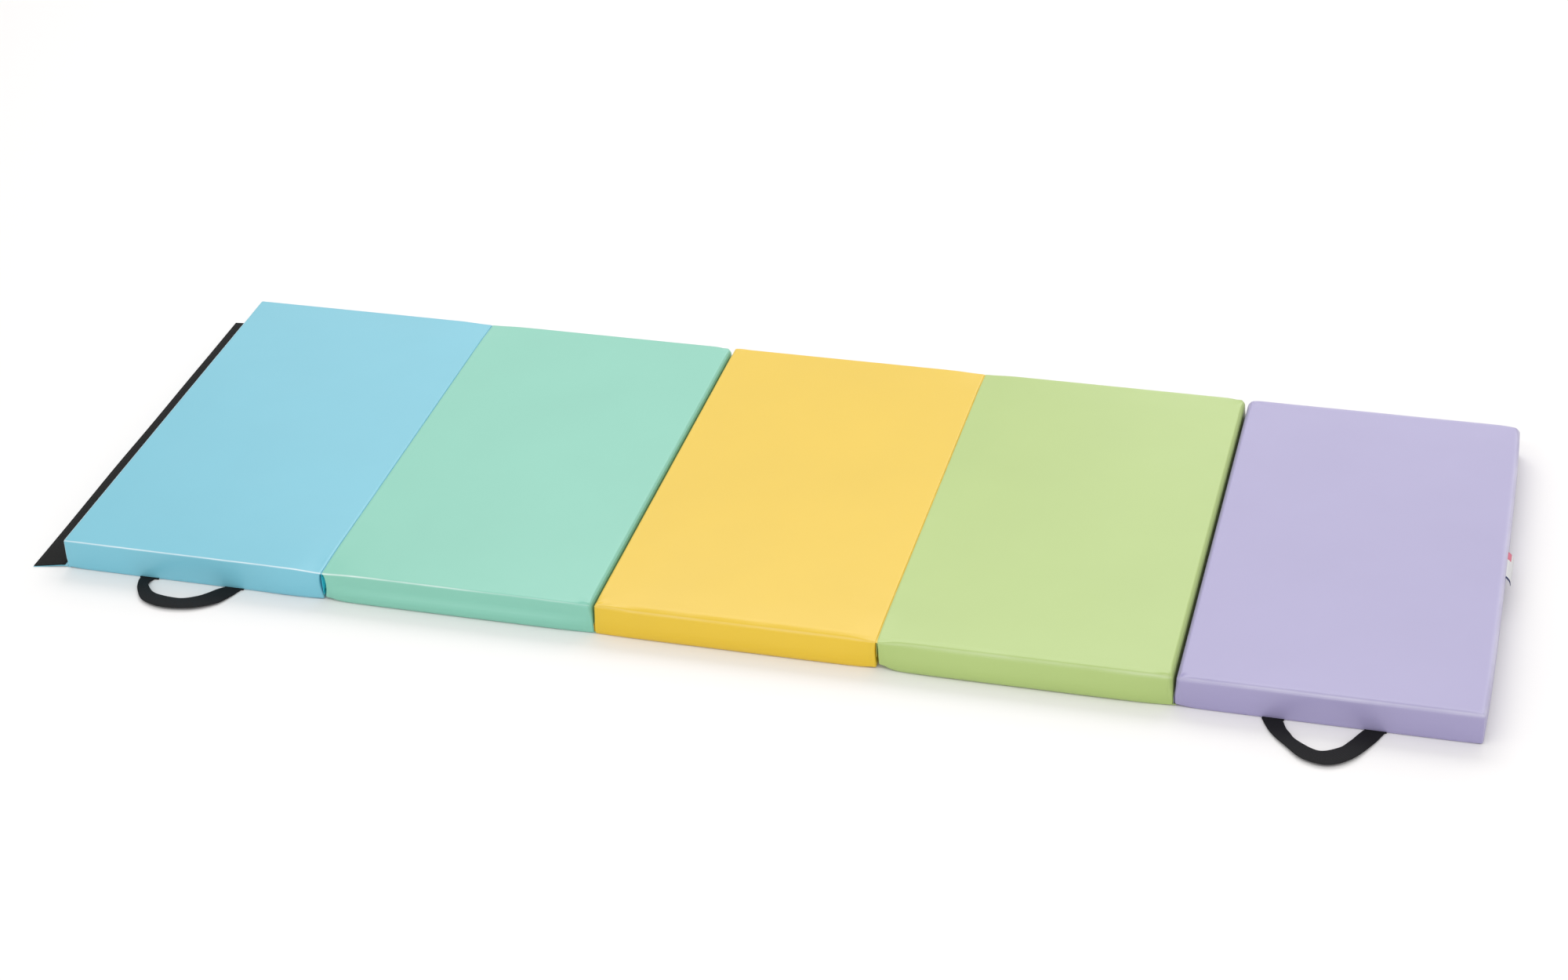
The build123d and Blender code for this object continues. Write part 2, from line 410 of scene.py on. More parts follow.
def foam(name):
    """Open-cell foam, a little uneven in its white."""
    n = Nodes(name)
    n.set(
        Base_Color=n.mix(n.noise(40.0, 3.0), (0.86, 0.86, 0.84), (0.93, 0.93, 0.92)),
        Roughness=0.9,
        Normal=n.bump(n.cells(500.0), 0.5, 0.0006),
    )
    return n.material


def metal(name, colour):
    """Cast zip metal, with a roughness that varies finely."""
    n = Nodes(name)
    n.set(
        Base_Color=n.mix(n.noise(300.0), shade(colour, 0.9), shade(colour, 1.05)),
        Metallic=0.6,
        Roughness=n.range(n.noise(900.0), 0.28, 0.42),
    )
    return n.material


def plain_plastic(name, colour, roughness):
    """Thread or moulded plastic, with a fine grain."""
    n = Nodes(name)
    n.set(
        Base_Color=n.mix(n.noise(120.0), shade(colour, 0.94), shade(colour, 1.04)),
        Roughness=roughness,
        Normal=n.bump(n.noise(1500.0), 0.15, 0.0002),
    )
    return n.material


def label_weave(name, colour, light=1.05):
    return woven(name, colour, 0.5 * MM, contrast=(0.9, light))


VINYL_COLOUR = by_colour(
    (0.174, 0.478, 0.585),
    (0.210, 0.514, 0.400),
    (0.695, 0.466, 0.024),
    (0.374, 0.494, 0.162),
    (0.320, 0.290, 0.478),
)
VINYL = {c: vinyl(f"vinyl_{c}", VINYL_COLOUR[c]) for c in COLOURS}
# the blue seam's sheets get a painted stronger blue for the light inside their gap
SEAM_VINYL = {**VINYL, "blue": vinyl("vinyl_blue_painted_gap_light", (0.030, 0.480, 0.620))}
THREAD = {c: plain_plastic(f"thread_{c}", shade(VINYL_COLOUR[c], 0.85), 0.6) for c in COLOURS}
BLACK_THREAD = plain_plastic("thread_black", (0.010, 0.010, 0.011), 0.55)
WEBBING = woven("webbing_black", (0.0065, 0.0065, 0.0075), 1.5 * MM)
ZIP_TAPE = woven("zip_tape_grey", (0.55, 0.56, 0.57), 0.8 * MM, 0.85, (0.75, 1.1))
COIL = plain_plastic("zip_coil_grey", (0.60, 0.61, 0.62), 0.4)
SLIDER = metal("slider_grey", (0.55, 0.56, 0.58))
HOOK = pile("hook_tape_black", (0.0065, 0.0065, 0.0062), 900.0, 0.0008)
LOOP = pile("loop_tape_black", (0.008, 0.008, 0.008), 600.0, 0.0012)
FOAM = foam("foam_white")
LABEL = label_weave("label_white", (0.80, 0.80, 0.81))
LABEL_PINK = label_weave("label_pink", (0.75, 0.22, 0.30))
LABEL_NAVY = label_weave("label_navy", (0.02, 0.03, 0.12), 1.1)

# --- covers ----------------------------------------------------------------------------------
# how the left and right of a panel end: sewn to the next along the top or bottom, or free
SIDES = by_colour(
    ("end", "top"), ("top", "bottom"), ("bottom", "top"), ("top", "bottom"), ("bottom", "end")
)
# radii of the top edges at the left and right, and at the front, in mm
SIDE_RADII = by_colour((4, 2.2), (2.2, 9), (4, 2.2), (2.2, 9), (9, 5))
FRONT_RADIUS = by_colour(2.8, 3.5, 5.0, 5.5, 6.5)
# how far the front bottom corners lift at the left and right, in mm
CORNER_LIFT = by_colour((2.0, 1.5), (5, 0.5), (0.5, 2), (8, 1), (3.5, 1))
# how uneven the front top edge is, in mm
EDGE_WAVE = by_colour(0.45, 0.8, 1.3, 1.9, 1.1)
# how far the front wall swells between its seams, in mm, and how much more the blue one does
# where its foam is pressed against the fold, from this far right of the panel's middle
WALL_SWELL = by_colour(1.1, 5.0, 4.5, 7.0, 1.2)
BLUE_SWELL, BLUE_SWELL_FROM = 3.5, 100 * MM
# the painted highlight along the edges of a top: its strength, what share of that it has at the
# left and right end, its half width in mm, and how much it comes and goes
PAINTED_HIGHLIGHT = by_colour(1.0, 0.9, 0.08, 0.14, 0.34)
PAINTED_HIGHLIGHT_ENDS = by_colour((1, 1), (1, 0.25), (1, 1), (0.5, 1.5), (0.6, 1.2))
PAINTED_HIGHLIGHT_WIDE = by_colour(1.5, 1.8, 3.5, 4.5, 5.0)
PAINTED_HIGHLIGHT_PATCHY = by_colour(0.25, 0.6, 0.4, 0.5, 0.4)
# how much wider a fold sewn along the top gapes at its front and back ends
FOLD_GAPE = by_colour(1.1, 1.1, 0.15, 0.15)
TOP_R = 4.0 * MM
LOW_R = 3.0 * MM
END_BOW = 4.5 * MM  # how far the lilac end bows out
YELLOW_DROP = 1.8 * MM  # how far the yellow front edge drops past its left corner
SIDE_REACH = 30 * MM  # how far in from a side its top edge's radius tells
FOLD_END = 38 * MM  # how far in from the front and back the end of a fold reaches
SEAM_SINK = 0.4 * MM
SEAM_WIDE = 0.8 * MM
SLOT_HALF = 4.2 * MM  # half height of the zip's opening
SLOT_DEEP = 1.2 * MM
LIP = 0.8 * MM  # the raised rim along that opening
FACE = 1e-6  # a point this near to a face is on it

# grid lines of a cover, close together at its edges
NEAR_X = [d * MM for d in (0, 0.7, 1.5, 2.4, 3.4, 4.4, 5.4, 6.2, 7.2, 8.6, 10.5, 13, 17, 23, 31)]
NEAR_Y = [d * MM for d in (0, 0.7, 1.5, 2.4, 3.4, 4.6, 6, 7.6, 9.5, 12, 15, 20, 27, 36)]
GRID = 10 * MM
LOW_Z = (0, 0.7, 1.5, 2.4, 3.0, 3.6, 4.6, 6.5, 9.5, 13, 17)
HIGH_Z = (17, 14, 11, 8.5, 6.6, 5.6, 5.0, 4.4, 3.6, 2.8, 2.0, 1.3, 0.7, 0)
MIDDLE_Z = [ZIP_Z + d * MM for d in (-4.7, -4.1, 0, 4.1, 4.7)]
LINES_Z = np.array([d * MM for d in LOW_Z] + MIDDLE_Z + [THICK - d * MM for d in HIGH_Z])
# grid lines of the foam, which nobody sees
FOAM_NEAR = [d * MM for d in (0, 3, 7, 15, 30)]
FOAM_GRID = 24 * MM
FOAM_Z = np.array([0, 1.5, 3, 6, 13, 25, 37, 43, 46, 48, 50]) * (THICK / 50)
FOAM_INSET = (3.6, 3.0, 2.6)  # of the foam inside its cover, in mm

LOOP_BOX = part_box("loop_strip")


def rounded(p, radius):
    """Box-skin points pulled on to a box with rounded edges of a radius that may vary."""
    half = np.array([HALF_X, HALF_Y])
    core = p.copy()
    for axis in (0, 1):
        core[:, axis] = np.clip(p[:, axis], radius - half[axis], half[axis] - radius)
    core[:, 2] = np.clip(p[:, 2], radius, THICK - radius)
    out = p - core
    length = np.linalg.norm(out, axis=1)
    return core + out * (radius / np.maximum(length, 1e-9))[:, None]


def at_free_end(colour, x):
    """Which points are in the half of a panel that has the mat's free end."""
    left, right = (kind == "end" for kind in SIDES[colour])
    return (left & (x < 0)) | (right & (x > 0))


def places(flat):
    """Where the points of a flat box skin are: how high, and how much on each face."""
    x, y, z = flat.T
    share = z / THICK
    return SimpleNamespace(
        x=x,
        y=y,
        z=z,
        share=share,
        high=smooth((share - 0.3) / 0.5),
        front=within(HALF_Y + y, 14 * MM),
        on_front=within(HALF_Y + y, 3 * MM),
        on_top=smooth((share - 0.86) / 0.12),
        inside_x=1 - np.abs(x / HALF_X) ** 6,
        wall=np.sin(math.pi * np.clip(share, 0, 1)),
        to_long=HALF_Y - np.abs(y),
    )


def edge_radii(at, colour):
    """Radius of the rounding near each point."""
    radius = LOW_R + (TOP_R - LOW_R) * at.high
    front_r = FRONT_RADIUS[colour] * MM
    radius = radius + at.high * within(HALF_Y + at.y, SIDE_REACH) * (front_r - TOP_R)
    for sign, edge_r in zip((-1, 1), SIDE_RADII[colour]):
        near = within(HALF_X - sign * at.x, SIDE_REACH)
        radius = radius + at.high * near * (edge_r * MM - radius)
    if colour == "lilac":
        # its back right corner is rounder
        corner = bell(HALF_X - at.x, 20 * MM) * bell(HALF_Y - at.y, 20 * MM)
        radius = radius + 5 * MM * corner * at.high
    return radius


def wave_top(p, at, seed):
    """The top sheet: slow waves, finer puckers near its edges, and a slight fall to them."""
    x, y = at.x, at.y
    calm = smooth(np.minimum(HALF_X - np.abs(x), at.to_long) / (70 * MM))
    slow = 0.42 * ripple(x + 0.4 * y, y, 0.17, seed)
    slow = slow + 0.22 * ripple(x - 0.5 * y, y, 0.07, seed + 1)
    fine = 0.10 * ripple(x, y, 0.024, seed + 5) * (1.2 - calm)
    rise = 0.25 + slow * (0.35 + 0.65 * calm) + fine - 0.55 * (1 - calm)
    p[:, 2] += at.on_top * MM * rise


def shape_front(p, at, colour, seed):
    """The front wall swells and ripples, and the front edge isn't quite straight."""
    x, z = at.x, at.z
    belly = np.sin(math.pi * np.clip(at.share, 0, 1) ** 0.6)
    if colour == "mint":
        # low down only, clear of the handle that swings up past the folded stack
        belly = belly * (1 - smooth((at.share - 0.3) / 0.3))
    swell = WALL_SWELL[colour] * belly * at.inside_x
    swell = swell + 0.30 * at.wall * ripple(x, z * 3, 0.05, seed + 2)
    if colour == "blue":
        pressed = smooth((x - BLUE_SWELL_FROM) / (60 * MM))
        swell = swell + BLUE_SWELL * belly * at.inside_x * pressed
    p[:, 1] -= at.on_front * swell * MM
    along = ripple(x, z * 0, 0.075, seed + 3) + 0.55 * ripple(x, z * 0, 0.026, seed + 4)
    rim = at.front * at.high * EDGE_WAVE[colour] * MM
    p[:, 2] -= rim * (0.35 + 0.5 * along) * at.on_top
    if colour == "yellow":
        past_corner = smooth((x + HALF_X - 36 * MM) / (22 * MM))
        drop = YELLOW_DROP * past_corner * at.inside_x
        p[:, 2] -= at.front * at.high * at.on_top * drop
    p[:, 1] -= rim * 0.45 * along * at.wall * at.on_front


def bow_end(p, at):
    bow = 1 - (at.y / HALF_Y) ** 4
    p[:, 0] += END_BOW * bow * within(HALF_X - at.x, 60 * MM) * smooth(at.share / 0.15)


def shape_sides(p, at, colour, seed):
    """Sides sewn together meet at their seam and part from it; a free end swells a little."""
    gap = FOLD_GAP / MM
    ends = bell(at.to_long, FOLD_END)
    for sign, kind in zip((-1, 1), SIDES[colour]):
        across = HALF_X - sign * at.x
        near = within(across, 9 * MM)
        outer = within(across, 4 * MM)
        if kind == "top":
            # sides meet at the top, and part in a lens below it
            lens = np.sin(math.pi * np.clip(1 - at.share, 0, 1) ** 0.8) ** 1.1
            part = (0.12 + 3.0 * lens) * (0.5 + FOLD_GAPE[colour] * ends)
            p[:, 0] += sign * near * MM * (gap - part)
            p[:, 2] -= outer * at.on_top * 0.25 * MM
            p[:, 2] -= ends * bell(across, 30 * MM) * at.on_top * 2.6 * MM
        elif kind == "bottom":
            part = 0.5 + 2.3 * at.share**1.3
            p[:, 0] += sign * near * MM * (gap - part)
            p[:, 2] += outer * (1 - smooth(at.share / 0.1)) * 0.5 * MM
        else:
            p[:, 0] += sign * within(across, 6 * MM) * 0.7 * MM * at.wall**0.6
        # puckers run in from the sewn edges, and folds fan out from the corners
        if kind != "end":
            pucker = ripple(at.x * 0, at.y, 0.030, seed + 6 + sign) * bell(across, 22 * MM)
            p[:, 2] += at.on_top * pucker * 0.28 * MM
        if kind == "bottom":
            folds = np.sin(7 * np.arctan2(at.to_long, np.maximum(across, FACE)) + seed)
            ring = bell(np.hypot(across, at.to_long) - 15 * MM, 10 * MM)
            p[:, 2] += at.on_top * 0.7 * MM * folds * ring


def curl_corners(p, at, colour):
    """Front bottom corners that curl up from the floor."""
    for sign, lift in zip((-1, 1), CORNER_LIFT[colour]):
        curl = bell(HALF_X - sign * at.x, 18 * MM) * bell(HALF_Y + at.y, 24 * MM)
        curl = curl * (1 - smooth(at.share / 0.5))
        p[:, 2] += curl * lift * MM
        p[:, 0] -= sign * curl * lift * 0.3 * MM


def sew(p, at):
    """Seam grooves where the walls are sewn on, and the opening for the zip at the back."""
    x, y, z = at.x, at.y, at.z
    side_face = np.abs(x) > HALF_X - FACE
    long_face = np.abs(y) > HALF_Y - FACE
    back_face = y > HALF_Y - FACE
    low, top = bell(z - LOW_SEAM, SEAM_WIDE), bell(z - HIGH_SEAM, SEAM_WIDE)
    upright = bell(np.abs(x) - (HALF_X - SIDE_SEAM), 0.9 * MM)
    upright = upright * (z > LOW_SEAM) * (z < HIGH_SEAM)
    p[:, 1] -= np.sign(y) * (upright + low) * long_face * SEAM_SINK
    p[:, 0] -= np.sign(x) * (low + top) * side_face * SEAM_SINK
    off_zip = np.abs(z - ZIP_Z)
    slot = (off_zip < SLOT_HALF) & (np.abs(x) < ZIP_X + 1.5 * MM) & back_face
    p[:, 1] -= slot * SLOT_DEEP
    lip = (off_zip < SLOT_HALF + LIP) & ~slot & back_face & (np.abs(x) < ZIP_X)
    p[:, 1] += lip * 0.25 * MM


def bed_loop_tape(p, at):
    """A shallow bed for the loop tape, under the lilac panel's free end."""
    mat_x = at.x + CENTRE_X["lilac"]
    bed = smooth((mat_x - LOOP_BOX[0][0] + 6 * MM) / (5 * MM))
    bed = bed * smooth((LOOP_BOX[1][0] + 6 * MM - mat_x) / (5 * MM))
    bed = bed * smooth((LOOP_BOX[1][1] + 6 * MM - np.abs(at.y)) / (5 * MM))
    p[:, 2] += bed * (at.share < 0.01) * 0.9 * MM


def painted_edge_highlight(at, colour, seed):
    """How strongly a painted highlight lies where the vinyl folds over the foam's edges."""
    x, y = at.x, at.y
    free_end = at_free_end(colour, x)
    to_side = HALF_X - np.abs(x)
    to_edge = np.minimum(at.to_long, np.where(free_end, to_side, 1.0))
    patchy = 0.72 + PAINTED_HIGHLIGHT_PATCHY[colour] * ripple(x, y, 0.075, seed + 8)
    patchy = patchy + 0.15 * ripple(x, y, 0.015, seed + 9)
    painted_highlight = bell(np.hypot(THICK - at.z, to_edge), PAINTED_HIGHLIGHT_WIDE[colour] * MM) * np.clip(patchy, 0, 1)
    at_left, at_right = PAINTED_HIGHLIGHT_ENDS[colour]
    painted_highlight = painted_highlight * (at_left + (at_right - at_left) * (x / HALF_X + 1) / 2)
    # a painted highlight also runs down the upright corners at the mat's free ends
    upright = bell(np.hypot(to_side, at.to_long), 1.2 * MM)
    return np.maximum(painted_highlight, 0.5 * upright * free_end) * PAINTED_HIGHLIGHT[colour]


def cover_skin(colour, xs, ys, zs):
    """Skin of one padded cover, centred on the panel: soft edges, seams, and folded sides."""
    flat, faces = box_skin(xs, ys, zs)
    seed = 7.0 + 3.1 * COLOURS.index(colour)
    at = places(flat)
    p = rounded(flat, edge_radii(at, colour))
    wave_top(p, at, seed)
    shape_front(p, at, colour, seed)
    if colour == "lilac":
        bow_end(p, at)
    shape_sides(p, at, colour, seed)
    curl_corners(p, at, colour)
    sew(p, at)
    if colour == "lilac":
        bed_loop_tape(p, at)
    p[:, 2] = np.clip(p[:, 2], 0, None)
    return p, faces, painted_edge_highlight(at, colour, seed)


def make_cover(colour):
    xs = graded(-HALF_X, HALF_X, NEAR_X, GRID)
    ys = graded(-HALF_Y, HALF_Y, NEAR_Y, GRID)
    points, faces, painted_highlight = cover_skin(colour, xs, ys, LINES_Z)
    points[:, 0] += CENTRE_X[colour]
    cover = piece(f"cover_{colour}", points, faces, VINYL[colour])
    # the painted edge highlight goes on the cover as a point attribute
    layer = cover.data.attributes.new(PAINTED_HIGHLIGHT_MAP, "FLOAT", "POINT")
    layer.data.foreach_set("value", painted_highlight.astype(np.float32))
    parts = ("top_sheet", "bottom_sheet", "left_wall", "right_wall", "back_wall")
    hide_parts(*[f"{part}_{colour}" for part in parts])
    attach(cover, f"panel_{colour}")


def make_foam(colour):
    """The foam block inside, a little smaller all round than its cover."""
    xs = graded(-HALF_X, HALF_X, FOAM_NEAR, FOAM_GRID)
    ys = graded(-HALF_Y, HALF_Y, FOAM_NEAR, FOAM_GRID)
    points, faces, _ = cover_skin(colour, xs, ys, FOAM_Z)
    half = np.array([HALF_X, HALF_Y, THICK / 2])
    middle = np.array([0, 0, THICK / 2])
    points = middle + (points - middle) * (1 - np.array(FOAM_INSET) * MM / half)
    points[:, 0] += CENTRE_X[colour]
    block = piece(f"foam_{colour}", points, faces, FOAM)
    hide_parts(f"foam_core_{colour}")
    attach(block, f"panel_{colour}")


for colour in COLOURS:
    make_cover(colour)
    make_foam(colour)

# --- folds between the panels ----------------------------------------------------------------
# by the panel on a fold's left: how far the shared seam's sheets spread in the gap, and how
# far they reach into it, in mm
FLANGE_SPREAD = by_colour(3.8, 0.5, 0.6, 0.5)
FLANGE_DEEP = by_colour(38, 15, 26, 15)
FLANGE_ENDS = [d * MM for d in (0, 0.7, 1.5, 2.4, 3.4, 4.6, 6.0, 7.6, 9.5)]
FLANGE_GRID = 6.6 * MM
FLANGE_START = 2.9  # mm in from the seam's face
FOLD_SHORT = 0.6 * MM  # the sheets stop this far short of the front and the back
WEB_HALF = 3.2  # half width of the web across a fold, in mm
WEB_THICK = 0.8 * MM
FLANGE_THICK = 0.6 * MM


def corner_dip(ys, at_top):
    """How far a fold dips at its front and back ends, in mm."""
    return bell(HALF_Y - np.abs(ys), FOLD_END) * (2.4 if at_top else 0.4)


def make_web(left, right, fold_x, level, inwards):
    """The web that joins two covers at their shared seam."""
    ys = np.linspace(-HALF_Y + FOLD_SHORT, HALF_Y - FOLD_SHORT, 121)
    across = np.linspace(-WEB_HALF, WEB_HALF, 15)
    uneven = 0.15 * ripple(ys, ys * 0, 0.02, 50.0 + COLOURS.index(left))
    sag = 2.3 + 0.12 * across[None, :] ** 2 + (corner_dip(ys, inwards < 0) + uneven)[:, None]
    x, z = fold_x + across[::-inwards] * MM, level + inwards * sag * MM
    points = grid_of(x, ys[:, None], z)
    web = slab(f"web_{left}_{right}", points, WEB_THICK, VINYL[left])
    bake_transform(web)


def make_flanges(left, right, fold_x, level, inwards):
    """The seam's two sheets, which hang in the gap and close at its ends."""
    end_y = HALF_Y - FOLD_SHORT
    ys = graded(-end_y, end_y, FLANGE_ENDS, FLANGE_GRID)
    deep = np.linspace(0, 1, 14)[None, :]
    closed = 1 - 0.95 * smooth((np.abs(ys) - end_y + 9 * MM) / (9 * MM))[:, None]
    wavy = 0.25 * ripple(ys, ys * 0, 0.05, 53.0 + COLOURS.index(left))[:, None]
    spread = FLANGE_SPREAD[left] * np.sin(math.pi * 1.12 * deep) + 0.25 * (1 - deep)
    start = FLANGE_START + corner_dip(ys, inwards < 0)[:, None]
    z = level + inwards * (start + FLANGE_DEEP[left] * deep) * MM
    colours = (left, left if left == "blue" else right)
    for number, (side, colour) in enumerate(zip((-1, 1), colours)):
        points = grid_of(fold_x + (side * spread * closed + wavy * deep) * MM, ys[:, None], z)
        name = f"flange_{left}_{right}_{number}"
        flange = slab(name, points, FLANGE_THICK, SEAM_VINYL[colour])
        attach(flange, f"panel_{left}")
        if number == 0:
            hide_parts(f"fold_seam_{left}_{right}")


for left, right in zip(COLOURS, COLOURS[1:]):
    fold_x = (CENTRE_X[left] + CENTRE_X[right]) / 2
    level, inwards = (THICK, -1) if SIDES[left][1] == "top" else (0.0, 1)
    make_web(left, right, fold_x, level, inwards)
    make_flanges(left, right, fold_x, level, inwards)

# --- webbing handles -------------------------------------------------------------------------
# outer and inner edge of each strap as it lies, in mm from the middle of its panel's bottom
# front seam: x, y, height
STRAPS = {
    "left": (
        [(-93, -2.4, 1.6), (-91, -16, 2.2), (-82, -38, 3.2), (-60, -65, 4.2), (-22, -77, 5.0)]
        + [(24, -71, 5.0), (58, -51, 4.0), (73, -27, 2.4), (83, -2.4, 1.6)],
        [(-68, -2.4, 1.6), (-71, -14, 3.2), (-67, -27, 5.0), (-46, -45, 5.6), (-4, -50, 5.6)]
        + [(22, -39, 5.2), (36, -24, 4.0), (44, -12, 3.0), (52, -2.4, 1.6)],
    ),
    "right": (
        [(-95, -2.4, 1.6), (-86, -22, 2.4), (-74, -42, 3.5), (-54, -64, 4.4), (-25, -91, 5.0)]
        + [(12, -98, 5.2), (44, -77, 5.0), (69, -36, 2.8), (84, -2.4, 1.6)],
        [(-64, -2.4, 1.6), (-57, -22, 3.4), (-50, -34, 4.6), (-38, -50, 5.4), (-5, -69, 6.0)]
        + [(23, -56, 5.8), (37, -36, 5.0), (46, -17, 3.4), (53, -2.4, 1.6)],
    ),
}
STRAP_ROWS, STRAP_COLUMNS = 120, 11
STRAP_THICK = 1.7 * MM
STRAP_ENDS = ((-94, -62), (54, 86))  # where the two ends go in under the panel, in mm
STRAP_END_Z = 1.55 * MM


def make_strap(side, colour):
    origin = np.array([CENTRE_X[colour], -HALF_Y, 0])
    outer, inner = (spline(edge, STRAP_ROWS) * MM + origin for edge in STRAPS[side])
    share = np.linspace(0, 1, STRAP_COLUMNS)
    along = np.linspace(0, 1, STRAP_ROWS)
    points = outer[:, None] * (1 - share[:, None]) + inner[:, None] * share[:, None]
    # a little cupped across, uneven along, and thinner at its two selvedges
    points[..., 2] += 0.5 * MM * np.sin(math.pi * share) * np.sin(math.pi * along)[:, None]
    points[..., 2] += 0.25 * MM * ripple(along * 0.3, along * 0, 0.03, 90.0)[:, None]
    thick = STRAP_THICK * np.minimum(1, 0.45 + 5 * np.minimum(share, 1 - share))[None, :]
    strap = slab(f"strap_{side}", points, thick, WEBBING)
    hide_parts(f"handle_{side}")
    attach(strap, f"handle_{side}")
    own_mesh(strap)

    ys = np.linspace(-HALF_Y + 5 * MM, -HALF_Y - 2.6 * MM, 8)
    ends = []
    for x_from, x_to in STRAP_ENDS:
        xs = np.linspace(x_from, x_to, STRAP_COLUMNS) * MM + CENTRE_X[colour]
        ends.append(slab("strap_end", grid_of(xs, ys[:, None], STRAP_END_Z), STRAP_THICK, WEBBING))
    sewn = join(f"strap_ends_{side}", ends)
    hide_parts(f"handle_ends_{side}")
    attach(sewn, f"panel_{colour}")


make_strap("left", "blue")
make_strap("right", "lilac")

# --- flap with hook tape along the left end --------------------------------------------------
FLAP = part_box("end_flap")
HOOK_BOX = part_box("hook_strip")
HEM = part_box("flap_hem")
PIVOT_X = FLAP[1][0] - HOOK_BOX[1][2] / 2
FLAP_SHEET = HOOK_BOX[0][2]
PILE_THICK = HOOK_BOX[1][2] - FLAP_SHEET
FLAP_OUT = 6.0 * MM  # how far the flap is pulled out from its hem
FLAP_SLANT = 11 * MM  # how far its front corner is cut forwards
HEM_Z = 1.2 * MM


def flap_grid(x_root, x_tip, y_front, y_back, above):
    """Grid of points over the flap: raised at its root, a little wavy, and slanted in front."""
    xs = np.linspace(x_tip, x_root, 12)
    ys = np.linspace(y_front, y_back, 161)[:, None]
    share = (xs - x_tip) / (x_root - x_tip)
    slant = FLAP_SLANT * (1 - share) * within(ys - y_front, 60 * MM)
    sway = 1.2 * MM * ripple(ys[:, 0], ys[:, 0] * 0, 0.22, 31.0)[:, None]
    wave = 0.5 + 0.5 * ripple(ys[:, 0], ys[:, 0] * 0, 0.12, 33.0)[:, None]
    lift = 3.0 * share**1.6 * (1 - 0.75 * share**12) + 1.3 * wave * (1 - share) ** 2 * share * 4
    return grid_of(xs - sway * (1 - share), ys - slant, above + lift * MM)


sheet_grid = flap_grid(
    PIVOT_X - 0.2 * MM, FLAP[0][0] - FLAP_OUT, FLAP[0][1], FLAP[1][1], FLAP_SHEET / 2 + 0.05 * MM
)
sheet = slab("flap_sheet", sheet_grid, FLAP_SHEET, VINYL["blue"])
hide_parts("end_flap")
hook_grid = flap_grid(
    HOOK_BOX[1][0] - 0.6 * FLAP_OUT,
    HOOK_BOX[0][0] - FLAP_OUT - 0.6 * MM,
    HOOK_BOX[0][1] - 0.5 * MM,
    HOOK_BOX[1][1],
    FLAP_SHEET + PILE_THICK / 2,
)
hook = slab("hook_tape", hook_grid, PILE_THICK, HOOK)
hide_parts("hook_strip")
rows = []
for column in (1, -2):
    knots = hook_grid[::16, column] + (0, 0, PILE_THICK / 2)
    for start, end in zip(knots, knots[1:]):
        rows += stitch_row(start, end, (0, 0, 1))
hook_stitches = gather("hook_stitches", rows, BLACK_THREAD)
for flap_piece in (sheet, hook, hook_stitches):
    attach(flap_piece, "end_flap")
    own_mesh(flap_piece)

ys = np.linspace(HEM[0][1], HEM[1][1], 81)
xs = np.linspace(PIVOT_X + 0.6 * MM, HEM[1][0] + 1 * MM, 6)
hem = slab("flap_hem_fold", grid_of(xs, ys[:, None], HEM_Z), 1.6 * MM, VINYL["blue"])
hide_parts("flap_hem")
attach(hem, "panel_blue")

# --- loop tape under the right end -----------------------------------------------------------
LOOP_Z = 0.6 * MM
LOOP_THICK = 1.0 * MM
ys = np.linspace(LOOP_BOX[0][1], LOOP_BOX[1][1], 161)
xs = np.linspace(LOOP_BOX[1][0], LOOP_BOX[0][0], 11)
loop = slab("loop_tape", grid_of(xs, ys[:, None], LOOP_Z), LOOP_THICK, LOOP)
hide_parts("loop_strip")
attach(loop, "panel_lilac")
rows = []
for x in (LOOP_BOX[0][0] + 2.5 * MM, LOOP_BOX[1][0] - 2.5 * MM):
    front, back = LOOP_BOX[0][1] + 3 * MM, LOOP_BOX[1][1] - 3 * MM
    rows += stitch_row((x, front, 0.15 * MM), (x, back, 0.15 * MM), (0, 0, 1))
loop_stitches = gather("loop_stitches", rows, BLACK_THREAD)
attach(loop_stitches, "panel_lilac")

# --- zips in the back walls ------------------------------------------------------------------
SLOT_Y = HALF_Y - SLOT_DEEP  # the opening's floor
TOOTH_PITCH = 2.6 * MM
TOOTH_HALF = (0.95 * MM, 0.75 * MM, 2.1 * MM)
STOP_HALF = (0.9 * MM, 1.0 * MM, 3.0 * MM)
ZIP_STITCH = 7.5 * MM  # from the zip's middle up and down to its stitching
# the slider's outline from its left round the top to its right, in mm from its middle
SLIDER_HALF = [(-6.6, 0), (-6.2, 3.4), (-3.0, 4.6), (2.5, 4.4), (5.8, 2.6), (6.8, 0)]
# how far out each ring of its dome is, in mm, and the ring's size
SLIDER_RINGS = ((0.0, 0.93), (0.25, 1.0), (1.1, 1.0), (1.45, 0.92), (1.6, 0.6), (1.65, 0.001))
BRIDGE_HALF = (0.75 * MM, 0.55 * MM, 1.1 * MM)


def make_tape(colour, centre):
    xs = np.linspace(centre - ZIP_X - 1 * MM, centre + ZIP_X + 1 * MM, 60)[::-1]
    zs = ZIP_Z + np.linspace(-SLOT_HALF, SLOT_HALF, 9)
    grid = grid_of(xs[:, None], SLOT_Y + 0.30 * MM, zs)
    tape = slab(f"tape_{colour}", grid, 0.5 * MM, ZIP_TAPE)
    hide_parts(f"zip_tape_{colour}")
    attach(tape, f"panel_{colour}")


